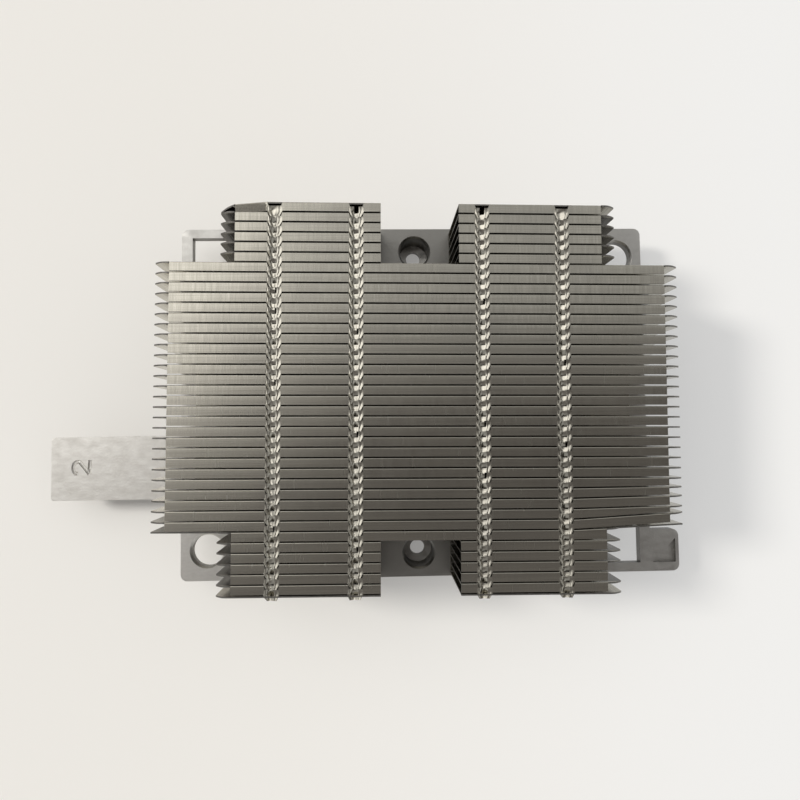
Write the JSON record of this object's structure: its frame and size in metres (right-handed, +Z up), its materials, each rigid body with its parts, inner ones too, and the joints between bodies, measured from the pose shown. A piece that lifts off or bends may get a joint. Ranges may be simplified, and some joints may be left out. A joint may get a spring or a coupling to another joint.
{
  "type": "passive heat sink",
  "caption": "Low passive processor heat sink: folded aluminium fins locked edge to edge on a die-cast base with screw bosses, guide holes, corner windows and a side tab.",
  "frame": {"origin": "centre of the contact face under the base", "axes": "+X along the fins, away from the handling tab; +Y across the fins; +Z up, away from the contact face"},
  "size_m": [0.1388, 0.0781, 0.0255],
  "materials": {
    "cast_base": "as-cast, matte",
    "fin_sheet": "rolled sheet, satin"
  },
  "bodies": {
    "root": {"base_casting": "cast_base", "fin_01_left": "fin_sheet", "fin_01_right": "fin_sheet", "fin_02_left": "fin_sheet", "fin_02_right": "fin_sheet", "fin_03_left": "fin_sheet", "fin_03_right": "fin_sheet", "fin_04_left": "fin_sheet", "fin_04_right": "fin_sheet", "fin_05_left": "fin_sheet", "fin_05_right": "fin_sheet", "fin_06_left": "fin_sheet", "fin_06_right": "fin_sheet", "fin_07": "fin_sheet", "fin_08": "fin_sheet", "fin_09": "fin_sheet", "fin_10": "fin_sheet", "fin_11": "fin_sheet", "fin_12": "fin_sheet", "fin_13": "fin_sheet", "fin_14": "fin_sheet", "fin_15": "fin_sheet", "fin_16": "fin_sheet", "fin_17": "fin_sheet", "fin_18": "fin_sheet", "fin_19": "fin_sheet", "fin_20": "fin_sheet", "fin_21": "fin_sheet", "fin_22": "fin_sheet", "fin_23": "fin_sheet", "fin_24": "fin_sheet", "fin_25": "fin_sheet", "fin_26": "fin_sheet", "fin_27": "fin_sheet", "fin_28": "fin_sheet", "fin_29": "fin_sheet", "fin_30": "fin_sheet", "fin_31": "fin_sheet", "fin_32": "fin_sheet", "fin_33": "fin_sheet", "fin_34_left": "fin_sheet", "fin_34_right": "fin_sheet", "fin_35_left": "fin_sheet", "fin_35_right": "fin_sheet", "fin_36_left": "fin_sheet", "fin_36_right": "fin_sheet", "fin_37_left": "fin_sheet", "fin_37_right": "fin_sheet", "fin_38_left": "fin_sheet", "fin_38_right": "fin_sheet", "fin_39_left": "fin_sheet", "fin_39_right": "fin_sheet"}
  },
  "joints": []
}
